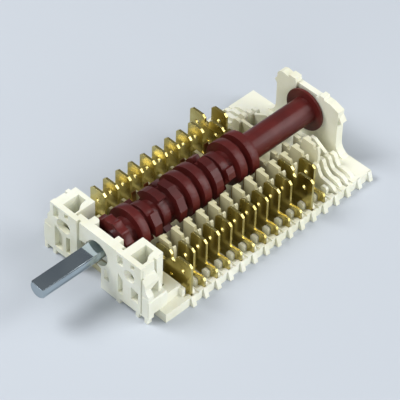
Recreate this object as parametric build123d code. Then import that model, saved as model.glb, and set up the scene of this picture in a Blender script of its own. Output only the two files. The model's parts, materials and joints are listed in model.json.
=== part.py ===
from build123d import *
import os
from math import sin, cos, pi, radians

os.makedirs("parts", exist_ok=True)

# Oven selector switch, millimetres. Built about the spindle axis, which runs along Y at x = 0.
# +Z is up, off the mounting surface; the control shaft leaves towards -Y.

# Driving dimensions
TAB_W = 6.3            # blade of a push-on tab
TAB_T = 0.8            # and its thickness
TAB_TIP_Z = 14.9       # tip of every tab
SHOULDER_Z = 6.2       # where the blade widens into its body
PLATE_FOOT_Z = 1.0     # bottom of every terminal plate, in its pocket
PITCH = 5.0            # contact cell pitch
ROW_X = 16.8           # middle of a single tab
PAIR_X = (12.9, 20.95)  # middles of the two tabs of a double terminal
RIGHT_ROW, LEFT_ROW = 0.0, -3.0   # y of cell 0 on each side

AXIS_Z = 14.0
SHAFT_R = 3.0
SHAFT_FLAT = 1.6       # flat above the axis: 4.6 over a 6.0 diameter
SHAFT_TIP_Y = -42.3
FLAT_LEN = 24.5
COLLAR_R = 3.3         # runs in the bracket's web
RUN = 0.05             # radial running clearance of a journal

CAM_R = 7.3
CAM_ROOT_R = 5.5
TUBE_R = 4.4
WHEEL_Y = (-14.1, -11.2)
FLUTES = 12
FLUTE_ANGLE = 6.0
FLUTE_R, FLUTE_OUT = 3.5, 10.2    # each flute is this round, its centre this far from the axis
PLUNGER_R = 1.52
SPRING_TOP = 3.9
BOSS_R, BOSS_Z = 2.7, 5.0
CAM_Y0, CAM_PITCH, CAM_T = -7.8, 4.95, 2.8
CAM_COUNT = 10
CAM_END_Y = CAM_Y0 + CAM_PITCH * (CAM_COUNT - 1) + CAM_T
LAST_CELL = 12         # number of the rearmost cell, counted from cell 0
ROW_END = PITCH * LAST_CELL     # the base, its rear wall and the spindle are as long as the rows
TUBE_END_Y = ROW_END + 6.2
DISC_R, DISC_T = 7.2, 0.8
DETENT_X = 0.8         # the plunger meets a flute slightly off the vertical
JOURNAL_R = 2.6

BLADE_W = 1.8
BLADE_TOP = 13.2
BLADE_TIP = 16.1       # blades that the cam has let go stand up past the combs
BLADE_Y = 0.9          # blade middle from the front face of its cam

BASE_X = 24.8
BASE_Y = (-15.8, ROW_END + 10.3)
TRAY_Z = 3.35
LEG_X = 24.45          # outer edge of a terminal's leg
SLOT_X = LEG_X + 0.12  # end of the slot that the leg stands in
RIB_X, RIB_W = 26.0, 1.5
TROUGH_X, TROUGH_Z = 8.6, 2.0
COMB_Z, LOW_Z = 14.5, 8.2   # comb tops of the +X and the -X row
COMB_T = 1.1
COMB_STEP = 2.1        # comb wall behind its terminal plate
INNER_X = (8.7, 9.7)

WALL_X, WALL_Y, WALL_Z = 12.6, (ROW_END + 7.4, ROW_END + 10.1), 20.9

FACE_Y = -20.1         # bracket front face
TOWER_PITCH = 28.0     # fixing hole centres
TOWER_HALF = 4.9       # from the middle of a tower's face to its outer edge
FACE_IN = {1: 5.3, -1: 6.3}   # and to its edge on the shaft's side, for the +X and the -X tower
BODY_HALF = 4.1        # half width of the body behind it
PLATE_Y = -18.3        # back of the face plate
BRIDGE_Y = -17.1
WEB_Y = (-17.6, -15.9)
ARCH_R = 4.3
TOWER_Z = 20.3
TOWER_REAR_Y = -10.8
SCREW_R = 2.15
SLOT_RUN = 1.35        # the left fixing hole is a slot that runs this far towards the shaft

Y_SHIFT = -(SHAFT_TIP_Y + BASE_Y[1]) / 2     # puts the middle of the length at y = 0


def block(x0, x1, y0, y1, z0, z1):
    size = (abs(x1 - x0), abs(y1 - y0), abs(z1 - z0))
    return Pos((x0 + x1) / 2, (y0 + y1) / 2, (z0 + z1) / 2) * Box(*size)


def slab_y(points, y0, y1):
    """Outline in x, z run from y0 to y1."""
    edge = Polyline(*[(x, y0, z) for x, z in points], close=True)
    return extrude(make_face(edge), amount=y1 - y0, dir=(0, 1, 0))


def slab_z(points, z0, z1):
    """Outline in x, y run from z0 to z1."""
    edge = Polyline(*[(x, y, z0) for x, y in points], close=True)
    return extrude(make_face(edge), amount=z1 - z0, dir=(0, 0, 1))


def slab_x(points, x0, x1):
    """Outline in y, z run from x0 to x1."""
    edge = Polyline(*[(x0, y, z) for y, z in points], close=True)
    return extrude(make_face(edge), amount=x1 - x0, dir=(1, 0, 0))


def rod(r, y0, y1, x=0.0, z=AXIS_Z):
    return Pos(x, (y0 + y1) / 2, z) * Rot(90, 0, 0) * Cylinder(r, abs(y1 - y0))


def prism_y(r, y0, y1, x, z, n):
    """Small round feature with n flats."""
    turn = [2 * pi * (i + 0.5) / n for i in range(n)]
    return slab_y([(x + r * sin(a), z + r * cos(a)) for a in turn], y0, y1)


def side(points, s):
    return [(s * x, z) for x, z in points]


def export(solid, name):
    export_step(Pos(0, Y_SHIFT, 0) * solid, f"parts/{name}.step")


# ---------------------------------------------------------------- base housing

SIDES = {"right": (1, RIGHT_ROW), "left": (-1, LEFT_ROW)}
TALL = range(-1, LAST_CELL)         # comb walls of full height
SEATED = range(-1, LAST_CELL - 1)   # cells with a pocket for a terminal
SPARE = (LAST_CELL - 1, LAST_CELL)  # moulded but empty cells


def comb_profile(s, y):
    """Comb wall in x, z; walls beside the plain tube reach further in than those beside the cams."""
    inner = 4.9 if y > CAM_END_Y + 1 else INNER_X[0]
    if s < 0:
        return [(inner, 1.0), (inner, LOW_Z), (14.2, LOW_Z), (15.1, LOW_Z - 1.2), (15.1, 1.0)]
    pts = [(inner, 1.0), (inner, COMB_Z)]
    if inner < INNER_X[0]:
        pts[1:] = [(inner, 13.0), (7.0, 13.0), (7.0, 12.3), (8.2, 12.3), (INNER_X[0], COMB_Z)]
    pts += [(12.9, COMB_Z), (13.1, COMB_Z - 1.3), (14.0, COMB_Z - 1.3)]
    return pts + [(14.4, COMB_Z), (14.9, COMB_Z - 0.2), (15.1, COMB_Z - 1.7), (15.1, 1.0)]


# outlines in x, z of one cell: its pocket, the post before the terminal, the wall behind it and the rib outside
POCKET = [(INNER_X[1], 1.0), (19.6, 1.0), (21.7, 2.2), (23.5, TRAY_Z), (23.5, TRAY_Z + 1), (INNER_X[1], TRAY_Z + 1)]
POST = [(19.6, 1.0), (19.6, 4.2), (20.1, 4.75), (21.6, 4.75), (22.0, 4.3), (22.0, 1.0)]
REST = [(19.4, 1.0), (19.4, 4.0), (20.0, 4.5), (22.8, 4.5), (24.0, TRAY_Z), (24.0, 1.0)]
RIB = [(SLOT_X, TRAY_Z), (BASE_X + 0.15, TRAY_Z), (RIB_X, 0), (SLOT_X, 0)]
# the empty cells have thick stepped walls: cell, start and end behind it, and height
SPARE_WALLS = ((LAST_CELL - 1, 0.5, 1.7, 8.6), (LAST_CELL - 1, 2.9, 4.3, 9.2), (LAST_CELL, 0.55, 1.9, 8.6),
               (LAST_CELL, 3.1, 4.6, 8.0))
LAST_WALL = [(4.9, 1.0), (4.9, 8.6), (7.0, 10.6), (8.7, 10.6), (13.4, 7.8), (13.9, 7.8), (13.9, 1.0)]


def spare_profile(top):
    return [(13.7, 1.0), (13.7, top - 0.5), (14.2, top), (15.6, top), (16.2, top - 0.7), (16.7, top - 2.2),
            (17.7, top - 3.4), (19.0, 4.9), (21.2, 4.7), (22.4, 4.2), (23.4, TRAY_Z), (23.4, 1.0)]


def row_features(s, row):
    """Walls and posts, then pockets, of one row of cells."""
    walls, pockets, trims = [], [], []
    for k in [*SEATED, *SPARE]:
        y = row + PITCH * k
        pockets.append(slab_y(side(POCKET, s), y - 2.35, y + 0.45))
        pockets.append(block(s * INNER_X[1], s * 19.4, y, y + 1.55, 1.0, TRAY_Z + 1))
        pockets.append(block(s * 19.3, s * SLOT_X, y - 0.45, y + 0.45, 1.0, TRAY_Z + 1))
        trims.append(block(s * 22.4, s * (BASE_X + 1), y + 1.65, y + 2.35, TRAY_Z - 0.5, TRAY_Z + 0.1))
        trims.append(block(s * (BASE_X - 0.35), s * (BASE_X + 1), y - 1.45, y - 1.0, -0.1, TRAY_Z - 0.4))
        walls.append(slab_y(side(POST, s), y - 1.5, y - 0.5))
        if k in SEATED:
            walls.append(slab_y(side(REST, s), y + 0.45, y + 1.6))
        walls.append(slab_y(side(RIB, s), y - 1.0, y - 1.0 + RIB_W))
    for k in TALL:
        y = row + PITCH * k + COMB_STEP
        walls.append(slab_y(side(comb_profile(s, y), s), y - COMB_T / 2, y + COMB_T / 2))
        walls.append(block(s * INNER_X[0], s * INNER_X[1], y - 3.85, y, 1.0, LOW_Z - 0.6))
        if s > 0:
            walls.append(block(INNER_X[0], INNER_X[1] + 0.5, y, y + COMB_T / 2 + 1.1, 1.0, COMB_Z - 0.2))
    for k, lo, hi, top in SPARE_WALLS:
        y = row + PITCH * k
        walls.append(slab_y(side(spare_profile(top), s), y + lo, y + hi))
    walls.append(slab_y(side(LAST_WALL, s), row + ROW_END + 1.85, row + ROW_END + 3.0))
    # solid block that closes the front of the row
    walls.append(block(s * 18.5, s * 21.6, -12.6, row - 7.0, TRAY_Z - 1, 7.2))
    walls.append(block(s * 12.0, s * 18.6, -10.5, row - 7.0, TRAY_Z - 1, 7.2))
    walls.append(block(s * 21.5, s * 22.9, row - 7.6, row - 6.4, TRAY_Z - 1, 6.2))
    return walls, pockets, trims


def rear_wall():
    x, (y0, y1) = WALL_X, WALL_Y
    crown = [(-x, 0), (-x, 20.4), (-11.9, 21.4), (-10.6, 21.9), (-8.0, 21.5), (-7.8, 22.5), (-5.2, 22.5),
             (-4.9, WALL_Z), (3.3, WALL_Z), (4.5, 21.2), (4.8, 22.3), (6.4, 22.3), (6.8, 21.5), (9.2, 21.4),
             (x, 20.2), (x, 0)]
    parts = [slab_y(crown, y0, y1)]
    for s, z in ((-1, 18.9), (1, 18.4)):
        clip = [(x - 0.4, z), (x + 0.1, z - 0.1), (x + 1.3, z - 2.0), (x + 0.1, z - 3.5), (x - 0.4, z - 3.5)]
        foot = [(x - 0.4, 2.0), (x - 0.4, 7.5), (x, 7.5), (x + 0.25, 6.2), (x + 0.9, 5.0), (x + 2.0, 4.0),
                (x + 3.4, TRAY_Z), (x + 3.4, 2.0)]
        parts += [slab_y(side(clip, s), y0 + 0.4, y1), slab_y(side(foot, s), y0, y1)]
    recess = [(-4.9, AXIS_Z), (-4.9, 23.0), (3.3, 23.0), (3.3, AXIS_Z)]
    cuts = [slab_y(recess, y0 - 0.1, y0 + 0.8), rod(JOURNAL_R + RUN, y0 - 0.4, y1 - 0.7)]
    return parts, cuts


def base_housing():
    walls = [block(-BASE_X, BASE_X, *BASE_Y, 0, TRAY_Z)]
    pockets = [block(-TROUGH_X, TROUGH_X, BASE_Y[0] - 1, WALL_Y[0] - 1.4, TROUGH_Z, TRAY_Z + 1)]
    parts, cuts = rear_wall()
    for s, row in SIDES.values():
        more, holes, trims = row_features(s, row)
        parts += more
        pockets += holes
        cuts += trims
    x, y = DETENT_X, sum(WHEEL_Y) / 2
    body = walls[0].cut(*pockets)
    body = body.fuse(*parts, Pos(x, y, BOSS_Z / 2 + 0.5) * Cylinder(BOSS_R, BOSS_Z - 1))
    return body.cut(*cuts, Pos(x, y, 3.2) * Cylinder(PLUNGER_R + 0.06, 4.0))


# ---------------------------------------------------------------- front bracket

def tower(cx, outer):
    """One fixing tower: what it adds and what is cored out of it.

    outer is the sign of x that faces away from the shaft.
    """
    adds = [block(cx - BODY_HALF, cx + BODY_HALF, FACE_Y, TOWER_REAR_Y, TRAY_Z + 0.05, TOWER_Z),
            block(cx - outer * FACE_IN[outer], cx + outer * TOWER_HALF, FACE_Y, PLATE_Y, 1.8, TOWER_Z)]
    # open well: wide behind the plate, its +x wall thicker towards the back with a rounded corner
    well = [(cx - 1.3, PLATE_Y), (cx + 3.6, PLATE_Y), (cx + 3.6, -16.6), (cx + 3.1, -15.8), (cx + 2.6, -15.2),
            (cx + 2.1, -14.1), (cx + 1.9, -12.3), (cx - 1.3, -12.3)]
    cuts = [slab_z(well, 7.0, 30), rod(SCREW_R, FACE_Y - 1, PLATE_Y + 0.3, x=cx)]
    if outer < 0:
        cuts += [rod(SCREW_R, FACE_Y - 1, PLATE_Y + 0.3, x=cx + SLOT_RUN),
                 block(cx, cx + SLOT_RUN, FACE_Y - 1, PLATE_Y + 0.3, AXIS_Z - SCREW_R, AXIS_Z + SCREW_R)]
    # coring slots of the front face: x range, z of the bottom, z of the top at each side, depth
    if outer > 0:
        slots = [(-4.8, -2.6, 15.8, 19.3, 19.3, 1.3), (0.6, 2.2, 17.8, 19.4, 19.4, 0.9),
                 (0.8, 3.7, 5.6, 10.4, 9.6, 2.6), (-4.6, -2.6, 4.4, 12.2, 10.2, 1.6)]
    else:
        slots = [(-3.6, -1.3, 15.3, 19.8, 19.8, 1.3), (1.1, 2.7, 18.0, 19.6, 19.6, 0.9),
                 (-3.1, 0.1, 3.6, 12.3, 9.8, 1.7), (1.7, 3.4, 4.4, 10.3, 10.9, 1.6)]
    for x0, x1, z0, z_left, z_right, deep in slots:
        pts = [(cx + x0, z0), (cx + x1, z0), (cx + x1, z_right), (cx + x0, z_left)]
        cuts.append(slab_y(pts, FACE_Y - 0.1, FACE_Y + deep))
    return adds, cuts


def cheek(s, c):
    """Side shoulder of the bracket: bulged front, sloped flank, flared back, ledge, snap window and slit.

    c is the distance of the tower from the shaft.
    """
    low = TRAY_Z + 0.05
    top = [(c + 6.3, 14.1), (c + 5.2, 16.1), (c + 4.7, 16.6), (c + 4.6, TOWER_Z), (c + 3.7, TOWER_Z)]
    front = [(c + 3.7, 1.8), (c + 7.9, 1.8), (c + 7.7, 10.6), (c + 6.4, 12.4)] + top
    flank = [(c + 3.7, low), (c + 6.5, low), (c + 6.4, 12.4)] + top
    back = [(c + 3.7, low), (c + 6.6, low), (c + 6.3, 8.0), (c + 5.4, 10.6), (c + 5.0, 12.8), (c + 5.0, TOWER_Z),
            (c + 3.7, TOWER_Z)]
    ledge = [(c + 5.0, low), (c + 8.0, low), (c + 8.0, 8.5), (c + 7.6, 8.9), (c + 5.0, 8.9)]
    adds = [slab_y(side(front, s), FACE_Y + 0.2, -17.8), slab_y(side(flank, s), -17.9, -14.5),
            slab_y(side(back, s), -14.6, -12.7), slab_y(side(ledge, s), FACE_Y + 0.2, -12.7),
            block(s * (c + 2.8), s * (c + 7.6), FACE_Y + 0.1, PLATE_Y, 1.8, 9.8)]
    adds += [block(s * (c + x - 0.6), s * (c + x + 0.6), FACE_Y, PLATE_Y - 0.1, 0, 2.2) for x in (7.0, 3.4)]
    # the window opens the flank into the well, and a slit parts the flank from the back
    window = [(-17.7, 8.9), (-14.7, 8.9), (-14.7, 13.3), (-15.0, 13.3), (-17.4, 12.1), (-17.7, 11.6)]
    x0, x1 = sorted((s * (c + 2.4 if s > 0 else c + 4.4), s * (c + 8.2)))
    cuts = [slab_x(window, x0, x1), block(s * (c + 3.9), s * (c + 5.5), -14.7, -14.1, 14.4, 30)]
    if s > 0:
        cuts.append(block(c + 4.75, c + 5.15, FACE_Y - 0.1, FACE_Y + 0.8, 2.4, 19.4))
    return adds, cuts


def front_bracket():
    c = TOWER_PITCH / 2
    adds, cuts = [], []
    for group in (tower(-c, -1), tower(c, 1), cheek(-1, c), cheek(1, c)):
        adds += group[0]
        cuts += group[1]
    # bridge plate between the towers, parted from the left one by a groove, and the panel under it on the right
    left, right = FACE_IN[-1] - c, c - FACE_IN[1]
    adds += [slab_y([(left + 1.0, 13.4), (left + 1.0, TOWER_Z), (right + 0.3, TOWER_Z), (right + 0.3, 13.2),
                     (4.4, 13.2), (-2.6, 15.4), (-3.6, 15.2), (-4.0, 13.8)], FACE_Y + 0.15, BRIDGE_Y),
             block(left - 1.4, left + 1.1, FACE_Y + 1.1, BRIDGE_Y, 13.5, TOWER_Z),
             slab_y([(2.2, 0.3), (2.2, 8.4), (0.6, 9.0), (0.6, 10.6), (4.4, 11.0), (4.4, 14.4), (right + 0.3, 14.4),
                     (right + 0.3, 0.3)], FACE_Y + 0.15, PLATE_Y), block(right, right + 1.6, FACE_Y, PLATE_Y - 0.1, 0, 2.2)]
    cuts += [rod(ARCH_R, FACE_Y - 1, WEB_Y[0], x=0.7, z=13.5), block(3.4, 5.6, FACE_Y - 0.1, FACE_Y + 1.1, 5.2, 9.4)]
    body = adds[0].fuse(*adds[1:]).cut(*cuts)
    # web that carries the shaft, its side posts and the two stops behind the plate
    post = c - BODY_HALF
    web = [block(0.3 - post, post - 0.3, *WEB_Y, 9.2, 18.4),
           block(post - 1.3, post + 0.3, PLATE_Y - 0.2, WEB_Y[1], TROUGH_Z, 13.0),
           block(-post - 0.3, 1.3 - post, PLATE_Y - 0.2, WEB_Y[1], TROUGH_Z, 13.0),
           block(-5.7, -4.3, BRIDGE_Y - 0.1, -14.8, 15.5, TOWER_Z),
           Pos(-4.3, -16.1, (15.5 + TOWER_Z) / 2) * Cylinder(1.3, TOWER_Z - 15.5),
           block(4.8, 6.9, BRIDGE_Y - 0.1, -15.4, 12.4, TOWER_Z)]
    return body.fuse(*web).cut(rod(COLLAR_R + RUN, WEB_Y[0] - 0.4, WEB_Y[1] + 1.0))


# ---------------------------------------------------------------- spindle

def lobed_cam(y0, y1, lobes):
    """Raised lobes of one cam; each is (start, end, step) in degrees from +Z towards +X."""
    out = []
    for a0, a1, step in lobes:
        n = max(1, round(abs(a1 - a0) / step))
        arc = [radians(a0 + (a1 - a0) * i / n) for i in range(n + 1)]
        rim = [(CAM_R * sin(a), AXIS_Z + CAM_R * cos(a)) for a in arc]
        out.append(slab_y([(0.0, AXIS_Z)] + rim, y0, y1))
    return out


# raised sectors of each cam from the front; an empty list is a full disc
CAMS = [[], [(38, 102, 32), (-150, -70, 16), (150, 200, 17)], [(-60, 24, 14), (118, 174, 14)],
        [(-24, 112, 34), (-112, -46, 22), (165, 210, 15)], [], [], [(-62, -30, 16), (-12, 126, 15), (170, 230, 15)],
        [(50, 80, 15), (150, 240, 15)], [], []]


def camshaft():
    adds = [rod(TUBE_R, WHEEL_Y[0], TUBE_END_Y)]
    for i, lobes in enumerate(CAMS):
        y0 = CAM_Y0 + CAM_PITCH * i
        y1 = y0 + CAM_T
        adds += lobed_cam(y0, y1, lobes) + [rod(CAM_ROOT_R, y0, y1)] if lobes else [rod(CAM_R, y0, y1)]
    adds += [rod(DISC_R, TUBE_END_Y, TUBE_END_Y + DISC_T),
             rod(JOURNAL_R, TUBE_END_Y + DISC_T - 0.1, WALL_Y[1] - 0.9)]
    # detent wheel: twelve shallow flutes
    flutes = []
    for i in range(FLUTES):
        a = 2 * pi * i / FLUTES - radians(FLUTE_ANGLE)
        flutes.append(rod(FLUTE_R, WHEEL_Y[0] - 1, WHEEL_Y[1] + 1, x=FLUTE_OUT * sin(a), z=AXIS_Z + FLUTE_OUT * cos(a)))
    wheel = rod(CAM_R, *WHEEL_Y).cut(*flutes)
    return adds[0].fuse(*adds[1:], wheel).cut(d_section(WHEEL_Y[0] - 1, -3.0))


def d_section(y0, y1):
    return rod(SHAFT_R, y0, y1) - block(-4, 4, y0 - 1, y1 + 1, AXIS_Z + SHAFT_FLAT, AXIS_Z + 5)


def d_shaft():
    knob = rod(SHAFT_R, SHAFT_TIP_Y, WEB_Y[0])
    knob = chamfer(knob.edges().group_by(Axis.Y)[0], 0.4)
    knob -= block(-4, 4, SHAFT_TIP_Y - 1, SHAFT_TIP_Y + FLAT_LEN, AXIS_Z + SHAFT_FLAT, AXIS_Z + 5)
    return knob.fuse(rod(COLLAR_R, WEB_Y[0] - 0.1, WHEEL_Y[0]), d_section(WHEEL_Y[0] - 0.1, -3.0))


# ---------------------------------------------------------------- terminals and contacts

def tab_outline(cx):
    h = TAB_W / 2
    return [(cx - h, SHOULDER_Z), (cx - h, TAB_TIP_Z - 0.9), (cx - h + 1.05, TAB_TIP_Z),
            (cx + h - 1.05, TAB_TIP_Z), (cx + h, TAB_TIP_Z - 0.9)]


def terminal(s, double):
    """Terminal of one side at y = 0."""
    if double:
        a, b = PAIR_X
        pts = tab_outline(a)[:-1] + [(a + TAB_W / 2, TAB_TIP_Z - 0.9), (a + TAB_W / 2, 12.6), ((a + b) / 2, 11.3),
                                     (b - TAB_W / 2, 12.6)] + tab_outline(b)[1:]
        pts += [(b + TAB_W / 2, 1.2), (22.3, 1.2), (22.3, 3.6), (19.4, 3.8), (18.6, PLATE_FOOT_Z)]
        pts += [(9.85, PLATE_FOOT_Z)]
        pts[0] = (9.85, SHOULDER_Z)
        holes = [(a, 10.8), (b, 10.8)]
        dimples = [(16.2, 6.5), (16.2, 2.3)]
    else:
        pts = [(11.6, PLATE_FOOT_Z), (11.6, 5.4), (12.6, SHOULDER_Z)] + tab_outline(ROW_X)
        pts += [(ROW_X + TAB_W / 2, SHOULDER_Z), (LEG_X - 1.1, SHOULDER_Z + 0.5), (LEG_X - 0.4, SHOULDER_Z + 0.2),
                (LEG_X, SHOULDER_Z - 0.5), (LEG_X, 1.2), (LEG_X - 2.4, 1.2), (LEG_X - 2.4, 4.7), (LEG_X - 2.8, 5.2),
                (20.6, 5.2), (19.5, 4.6), (19.2, PLATE_FOOT_Z)]
        holes, dimples = [(ROW_X, 10.8)], [(16.2, 2.3)]
    body = slab_y(side(pts, s), -TAB_T / 2, TAB_T / 2)
    cuts = [prism_y(0.78, -1, 1, s * x, z, 8) for x, z in holes]
    return body.cut(*cuts, *[prism_y(0.6, -1, -0.15, s * x, z, 6) for x, z in dimples])


def contact_blade(s, free):
    """Leaf spring standing beside the cams at y = 0; a free one shows its bent tip above its contact button."""
    w = BLADE_W / 2
    pts = [(8.12, TROUGH_Z), (8.12, BLADE_TOP), (8.36, BLADE_TOP), (8.36, TROUGH_Z)]
    if free:
        bend = BLADE_TIP - 0.7
        pts[1:3] = [(8.12, bend), (8.40, BLADE_TIP), (8.62, BLADE_TIP - 0.1), (8.36, bend)]
    turn = [2 * pi * (i + 0.5) / 8 for i in range(8)]
    x0, x1 = sorted((s * 7.83, s * 8.13))
    return slab_y(side(pts, s), -w, w).fuse(slab_x([(0.65 * sin(a), 11.0 + 0.65 * cos(a)) for a in turn], x0, x1))


def detent_plunger():
    """Stands in its boss with its nose up in one flute of the wheel."""
    x, y = DETENT_X, sum(WHEEL_Y) / 2
    top = AXIS_Z - FLUTE_OUT + FLUTE_R - 0.3
    pin = Pos(x, y, (top + SPRING_TOP) / 2) * Cylinder(PLUNGER_R, top - SPRING_TOP)
    return chamfer(pin.edges().group_by(Axis.Z)[-1], 0.8)


def detent_spring():
    y = sum(WHEEL_Y) / 2
    path = Helix(pitch=1.17, height=SPRING_TOP - 1.55, radius=1.15, center=(DETENT_X, y, 1.38))
    return sweep(Plane(origin=path @ 0, z_dir=path % 0) * Rectangle(0.26, 0.26), path=path, is_frenet=True)


FREE = {"right": (), "left": (2, 3, 6, 8)}      # blades that stand free of their cam
DOUBLE = {"right": (-1, 9), "left": (9,)}
export(base_housing(), "base_housing")
export(front_bracket(), "front_bracket")
export(camshaft(), "camshaft")
export(d_shaft(), "d_shaft")
for side_name, (s, row) in SIDES.items():
    single, double = terminal(s, False), terminal(s, True)
    held, free = contact_blade(s, False), contact_blade(s, True)
    for k in SEATED:
        if row + PITCH * k < -6:
            continue
        pair = k in DOUBLE[side_name]
        name = f"{'double_terminal' if pair else 'terminal'}_{side_name}_{k + 2:02d}"
        export(Pos(0, row + PITCH * k, 0) * (double if pair else single), name)
    for i in range(1, CAM_COUNT):
        blade = free if i in FREE[side_name] else held
        export(Pos(0, CAM_Y0 + CAM_PITCH * i + BLADE_Y, 0) * blade, f"contact_blade_{side_name}_{i:02d}")
export(detent_plunger(), "detent_plunger")
export(detent_spring(), "detent_spring")
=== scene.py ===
import bpy, json, math
from mathutils import Vector, Matrix


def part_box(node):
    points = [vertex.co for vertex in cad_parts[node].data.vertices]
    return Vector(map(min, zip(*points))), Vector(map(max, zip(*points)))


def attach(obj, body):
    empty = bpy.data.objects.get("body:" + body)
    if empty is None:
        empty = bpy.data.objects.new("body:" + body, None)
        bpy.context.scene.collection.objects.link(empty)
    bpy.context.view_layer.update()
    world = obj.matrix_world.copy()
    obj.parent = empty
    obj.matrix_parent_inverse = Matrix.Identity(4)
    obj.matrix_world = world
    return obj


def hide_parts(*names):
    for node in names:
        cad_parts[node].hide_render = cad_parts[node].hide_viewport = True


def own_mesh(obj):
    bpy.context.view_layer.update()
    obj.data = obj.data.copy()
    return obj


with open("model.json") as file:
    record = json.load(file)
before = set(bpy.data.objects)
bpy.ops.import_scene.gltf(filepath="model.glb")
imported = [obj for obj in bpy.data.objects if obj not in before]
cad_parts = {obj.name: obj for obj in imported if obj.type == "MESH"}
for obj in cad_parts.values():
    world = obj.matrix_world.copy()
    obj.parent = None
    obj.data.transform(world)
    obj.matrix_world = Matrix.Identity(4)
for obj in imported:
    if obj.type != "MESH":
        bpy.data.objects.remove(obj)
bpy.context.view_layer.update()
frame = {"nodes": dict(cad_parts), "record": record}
scene = bpy.context.scene
MM = 0.001

# ---------------------------------------------------------------- camera
AZIMUTH, ELEVATION, ROLL = math.radians(43.99), math.radians(44.55), math.radians(1.78)
AIM = Vector((3.12, 4.975, 10.0)) * MM
DISTANCE = 0.7121          # metres from the aim
LENS, SENSOR = 218.7, 36   # millimetres
CLIP = (0.01, 20)          # metres

right = Vector((math.cos(AZIMUTH), math.sin(AZIMUTH), 0))
up = Vector((-math.sin(AZIMUTH) * math.sin(ELEVATION), math.cos(AZIMUTH) * math.sin(ELEVATION),
             math.cos(ELEVATION)))
forward = Vector((-math.sin(AZIMUTH) * math.cos(ELEVATION),
                  math.cos(AZIMUTH) * math.cos(ELEVATION), -math.sin(ELEVATION)))
cam_right = right * math.cos(ROLL) + up * math.sin(ROLL)
cam_up = up * math.cos(ROLL) - right * math.sin(ROLL)
cam_data = bpy.data.cameras.new("camera")
cam_data.lens, cam_data.sensor_width = LENS, SENSOR
cam_data.clip_start, cam_data.clip_end = CLIP
cam = bpy.data.objects.new("camera", cam_data)
scene.collection.objects.link(cam)
place = Matrix((cam_right, cam_up, -forward)).transposed().to_4x4()
place.translation = AIM - forward * DISTANCE
cam.matrix_world = place
scene.camera = cam
scene.view_settings.view_transform = "Standard"


# ---------------------------------------------------------------- materials
def lin(r, g, b):
    """Turn a colour written as 0-255 display values into linear RGBA."""
    out = []
    for c in (r, g, b):
        c /= 255
        out.append(c / 12.92 if c <= 0.04045 else ((c + 0.055) / 1.055) ** 2.4)
    return (*out, 1.0)


class Nodes:
    """Small helper that builds one material's node tree."""

    def __init__(self, name):
        self.mat = bpy.data.materials.new(name)
        self.mat.use_nodes = True
        self.tree = self.mat.node_tree
        self.bsdf = self.tree.nodes["Principled BSDF"]

    def add(self, kind, **values):
        """Add a node; each value goes to the socket of that name, or else to the property."""
        node = self.tree.nodes.new("ShaderNode" + kind)
        for key, value in values.items():
            if key in node.inputs:
                node.inputs[key].default_value = value
            else:
                setattr(node, key, value)
        return node

    def link(self, a, b):
        self.tree.links.new(a, b)

    def coords(self, scale=(1, 1, 1)):
        tex = self.add("TexCoord")
        mapping = self.add("Mapping", Scale=scale)
        self.link(tex.outputs["Object"], mapping.inputs["Vector"])
        return mapping.outputs["Vector"]

    def noise(self, vector, scale, detail, rough=0.55):
        node = self.add("TexNoise", Scale=scale, Detail=detail, Roughness=rough)
        self.link(vector, node.inputs["Vector"])
        return node.outputs["Fac"]

    def ramp(self, fac, stops):
        node = self.add("ValToRGB")
        elements = node.color_ramp.elements
        while len(elements) < len(stops):
            elements.new(0.5)
        for element, (pos, colour) in zip(elements, stops):
            element.position, element.color = pos, colour
        self.link(fac, node.inputs["Fac"])
        return node.outputs["Color"]

    def grey(self, fac, low, high, start=0.3, end=0.7):
        return self.ramp(fac, [(start, (low, low, low, 1)), (end, (high, high, high, 1))])

    def fade_out(self, value, start, end):
        """1 up to start, falling to 0 at end."""
        node = self.add("MapRange", **{"From Min": start, "From Max": end,
                                       "To Min": 1.0, "To Max": 0.0})
        self.link(value, node.inputs["Value"])
        return node.outputs["Result"]

    def mix(self, fac, a, b):
        node = self.add("Mix", data_type="RGBA")
        for value, socket in ((fac, 0), (a, 6), (b, 7)):
            if isinstance(value, (int, float, tuple)):
                node.inputs[socket].default_value = value
            else:
                self.link(value, node.inputs[socket])
        return node.outputs[2]

    def bump(self, height, strength, distance, normal=None):
        node = self.add("Bump", Strength=strength, Distance=distance)
        self.link(height, node.inputs["Height"])
        if normal is not None:
            self.link(normal, node.inputs["Normal"])
        return node.outputs["Normal"]

    def finish(self, colour, rough, normal):
        self.link(colour, self.bsdf.inputs["Base Color"])
        self.link(rough, self.bsdf.inputs["Roughness"])
        self.link(normal, self.bsdf.inputs["Normal"])
        return self.mat


PAINTED_SHADE_X = (0.013, 0.021)    # metres from the spindle, where the painted shade fades
PAINTED_SHADE_Y = (0.036, 0.050)    # metres towards the rear, where the painted shade fades too
GRAIN = 0.00002            # metres, depth of a moulded surface's grain


def paint_recess_shade(n, vector, colour, shade_colour):
    """Painted shade: an olive tint over the cells between the rows, strongest beside the spindle,
    gone at rim and rear.
    """
    axes = n.add("SeparateXYZ")
    n.link(vector, axes.inputs["Vector"])
    across = n.add("Math", operation="ABSOLUTE")
    n.link(axes.outputs["X"], across.inputs[0])
    shade_mask = n.add("Math", operation="MULTIPLY")
    n.link(n.fade_out(across.outputs[0], *PAINTED_SHADE_X), shade_mask.inputs[0])
    n.link(n.fade_out(axes.outputs["Y"], *PAINTED_SHADE_Y), shade_mask.inputs[1])
    return n.mix(shade_mask.outputs[0], colour, shade_colour)


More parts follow.
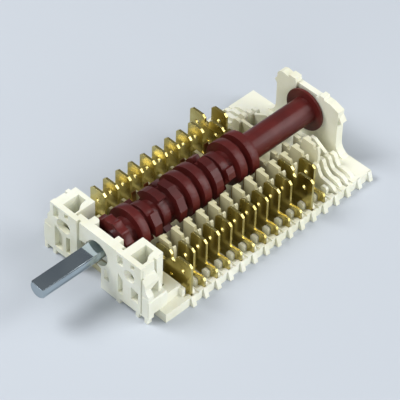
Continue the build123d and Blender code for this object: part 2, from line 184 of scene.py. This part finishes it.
def moulded(name, light, base, dark, rough, sss=0.0, shade_tint=None, gloss=0.5):
    """Moulded plastic: faint clouds and specks, fine grain, slight waviness; with a shade colour
    given, painted shade in the base's cells.
    """
    n = Nodes(name)
    v = n.coords()
    cloud = n.noise(v, 60, 3.0)
    fine = n.noise(v, 2600, 2.0)
    colour = n.ramp(cloud, [(0.30, dark), (0.52, base), (0.74, light)])
    speck = n.grey(n.noise(v, 900, 2.0), 0, 0.35, 0.60, 0.80)
    colour = n.mix(speck, colour, dark)
    # painted shade: an olive tint laid over the cells between the rows, placed by position
    if shade_tint:
        colour = paint_recess_shade(n, v, colour, shade_tint)
    n.bsdf.inputs["IOR"].default_value = 1.5
    n.bsdf.inputs["Specular IOR Level"].default_value = gloss
    if sss:
        n.bsdf.inputs["Subsurface Weight"].default_value = sss
        n.bsdf.inputs["Subsurface Radius"].default_value = (1.0, 0.8, 0.45)
        n.bsdf.inputs["Subsurface Scale"].default_value = 0.0012
    wave = n.bump(n.noise(v, 220, 2.0), 0.25, 0.00008)
    roughness = n.grey(n.noise(v, 400, 3.0), rough[0], rough[1])
    return n.finish(colour, roughness, n.bump(fine, 0.35, GRAIN, wave))


def metal(name, light, base, dark, rough, stretch, lines=0.00001, spots=0.30):
    """Stamped or drawn metal: clouds of tarnish, fine lines along the rolling, slight waviness."""
    n = Nodes(name)
    v = n.coords()
    drawn = n.coords(stretch)
    tarnish = n.noise(v, 110, 2.0, 0.5)
    colour = n.ramp(tarnish, [(0.34, dark), (0.50, base), (0.66, light)])
    streak = n.noise(drawn, 1500, 3.0)
    colour = n.mix(n.grey(streak, 0.0, spots), colour, dark)
    n.bsdf.inputs["Metallic"].default_value = 1.0
    wave = n.bump(n.noise(v, 90, 1.0), 0.05, 0.00005)
    return n.finish(colour, n.grey(tarnish, rough[1], rough[0]), n.bump(streak, 0.3, lines, wave))


ALONG_Z, ALONG_Y, PLAIN = (1, 1, 0.06), (1, 0.05, 1), (1, 1, 1)   # how a metal's lines are drawn out

CREAM = moulded("cream_plastic", lin(237, 238, 226), lin(230, 231, 214), lin(218, 217, 192),
                (0.36, 0.50), sss=0.10)
# the base's copy of the cream, with painted shade in the cells between the rows
CELLS_PAINTED_SHADE = moulded("cream_plastic_base_painted_shade", lin(238, 238, 223), lin(232, 232, 213), lin(220, 218, 190),
                (0.36, 0.50), sss=0.10, shade_tint=lin(198, 193, 157))
MAROON = moulded("maroon_plastic", lin(98, 33, 29), lin(84, 26, 23), lin(66, 20, 18),
                 (0.34, 0.44), gloss=0.32)
PLUNGER = moulded("plunger_plastic", lin(226, 222, 208), lin(216, 211, 195), lin(200, 194, 176),
                  (0.4, 0.55))
BRASS = metal("tab_brass", lin(216, 203, 138), lin(200, 185, 116), lin(182, 166, 98),
              (0.20, 0.30), ALONG_Z, lines=0.000004, spots=0.22)
BRONZE = metal("contact_bronze", lin(216, 178, 112), lin(192, 154, 88), lin(150, 116, 62),
               (0.24, 0.40), ALONG_Z)
STEEL = metal("shaft_steel", lin(174, 186, 192), lin(168, 180, 187), lin(162, 174, 182),
              (0.08, 0.11), ALONG_Y, lines=0.000003, spots=0.10)
WIRE = metal("spring_steel", lin(190, 192, 196), lin(172, 174, 178), lin(140, 142, 147),
             (0.28, 0.42), PLAIN)

SLOTS = {"cream_plastic": CREAM, "maroon_plastic": MAROON, "plunger_plastic": PLUNGER,
         "tab_brass": BRASS, "contact_bronze": BRONZE, "shaft_steel": STEEL, "spring_steel": WIRE}
# width in millimetres of the softened edges, by slot, and for a node that differs from its slot
EDGE = {"cream_plastic": 0.09, "maroon_plastic": 0.12, "tab_brass": 0.06, "contact_bronze": 0.03,
        "shaft_steel": 0.22, "plunger_plastic": 0.05}
EDGE_OF = {"front_bracket": 0.20}
EDGE_ANGLE = math.radians(32)
EDGE_SEGMENTS = 2
WELD_DISTANCE = 1e-6

slot_of = {part["node"]: part["material_slot"] for part in frame["record"]["subparts"]}
for name, obj in frame["nodes"].items():
    slot = slot_of[name]
    for material_slot in obj.material_slots:
        material_slot.material = SLOTS[slot]
    if name == "base_housing":
        obj.material_slots[0].material = CELLS_PAINTED_SHADE
    if slot in EDGE:
        weld = obj.modifiers.new("weld", "WELD")
        weld.merge_threshold = WELD_DISTANCE
        soft = obj.modifiers.new("edge", "BEVEL")
        soft.width, soft.segments = EDGE_OF.get(name, EDGE[slot]) * MM, EDGE_SEGMENTS
        soft.limit_method, soft.angle_limit = "ANGLE", EDGE_ANGLE
        soft.use_clamp_overlap = True
        soft.harden_normals = True


# ---------------------------------------------------------------- pieces made here
def piece(name, verts, faces, material, body="housing"):
    mesh = bpy.data.meshes.new(name)
    mesh.from_pydata([tuple(v) for v in verts], [], faces)
    mesh.validate()
    mesh.materials.append(material)
    obj = bpy.data.objects.new(name, mesh)
    scene.collection.objects.link(obj)
    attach(obj, body)
    return obj


# round spring wire in place of the plain CAD coil
WIRE_R, TURNS, AROUND, SIDES = 0.13 * MM, 2.0, 28, 10
low, high = (Vector(v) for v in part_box("detent_spring"))
coil_r = (high.x - low.x) / 2 - WIRE_R
centre = (low + high) / 2
steps = int(TURNS * AROUND)
verts, faces = [], []
for i in range(steps + 1):
    a = 2 * math.pi * i / AROUND
    out = Vector((math.cos(a), math.sin(a), 0))
    at = Vector((centre.x, centre.y, 0)) + out * coil_r
    at.z = low.z + WIRE_R + (high.z - low.z - 2 * WIRE_R) * i / steps
    for k in range(SIDES):
        b = 2 * math.pi * k / SIDES
        verts.append(at + (out * math.cos(b) + Vector((0, 0, 1)) * math.sin(b)) * WIRE_R)
for i in range(steps):
    for k in range(SIDES):
        j = (k + 1) % SIDES
        faces.append((i * SIDES + k, i * SIDES + j, (i + 1) * SIDES + j, (i + 1) * SIDES + k))
faces += [tuple(range(SIDES))[::-1], tuple(steps * SIDES + k for k in range(SIDES))]
coil = piece("detent_coil", verts, faces, WIRE)
for poly in coil.data.polygons:
    poly.use_smooth = True
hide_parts("detent_spring")
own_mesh(coil)

# the tray's edge ribs go on past the last cell, up to the rear corner
RIB_TOP, RIB_WIDTH, RIB_DEPTH, RIB_SLOPE = 3.35 * MM, 1.5 * MM, 1.5 * MM, 1.05 * MM
RIB_BACKS = (6.3, 1.55)    # millimetres from the base's rear end
low, high = (Vector(v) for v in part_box("base_housing"))
inner = high.x - RIB_DEPTH
outline = [(inner, RIB_TOP), (high.x - RIB_SLOPE, RIB_TOP), (high.x, 0.0), (inner, 0.0)]
rib_faces = [(0, 1, 2, 3), (7, 6, 5, 4)]
rib_faces += [(i, i + 4, (i + 1) % 4 + 4, (i + 1) % 4) for i in range(4)]
for number, back in enumerate(RIB_BACKS, 1):
    y0 = high.y - back * MM
    y1 = y0 + RIB_WIDTH
    verts = [(x, y0, z) for x, z in outline] + [(x, y1, z) for x, z in outline]
    rib = piece(f"edge_rib_{number}", verts, rib_faces, CREAM)
    soft = rib.modifiers.new("edge", "BEVEL")
    soft.width, soft.segments = EDGE["cream_plastic"] * MM, EDGE_SEGMENTS

# ---------------------------------------------------------------- studio
FLOOR_REACH = 6            # metres from the middle to each side
FLOOR_COLOUR = (0.52, 0.56, 0.61, 1)
WORLD_COLOUR, WORLD_STRENGTH = (0.92, 0.95, 1.0, 1), 0.26
LAMP_TARGET = (0, 0, 0.01)
# name, place in metres, width and height in metres, power in watts
LAMPS = (
    ("key", (-0.42, -0.32, 0.70), (0.40, 0.40), 5.7),
    ("side", (0.62, 0.50, 0.62), (0.68, 0.68), 5.9),
    ("fill", (0.70, -0.60, 0.40), (0.6, 0.6), 2.8),
    ("rim", (0.80, 0.49, 0.15), (0.5, 0.24), 1.5),
)

r = FLOOR_REACH
floor_mesh = bpy.data.meshes.new("floor")
floor_mesh.from_pydata([(-r, -r, 0), (r, -r, 0), (r, r, 0), (-r, r, 0)], [], [(0, 1, 2, 3)])
floor = bpy.data.objects.new("floor", floor_mesh)
scene.collection.objects.link(floor)
floor_nodes = Nodes("floor")
floor_nodes.bsdf.inputs["Roughness"].default_value = 0.9
floor_nodes.bsdf.inputs["Base Color"].default_value = FLOOR_COLOUR
floor_mesh.materials.append(floor_nodes.mat)

world = bpy.data.worlds.new("world")
scene.world = world
world.use_nodes = True
background = world.node_tree.nodes["Background"]
background.inputs["Color"].default_value = WORLD_COLOUR
background.inputs["Strength"].default_value = WORLD_STRENGTH


def softbox(name, at, size, power):
    data = bpy.data.lights.new(name, "AREA")
    data.shape, data.size, data.size_y, data.energy = "RECTANGLE", *size, power
    lamp = bpy.data.objects.new(name, data)
    lamp.location = at
    lamp.rotation_mode = "QUATERNION"
    lamp.rotation_quaternion = (Vector(LAMP_TARGET) - Vector(at)).to_track_quat("-Z", "Y")
    scene.collection.objects.link(lamp)


for lamp in LAMPS:
    softbox(*lamp)
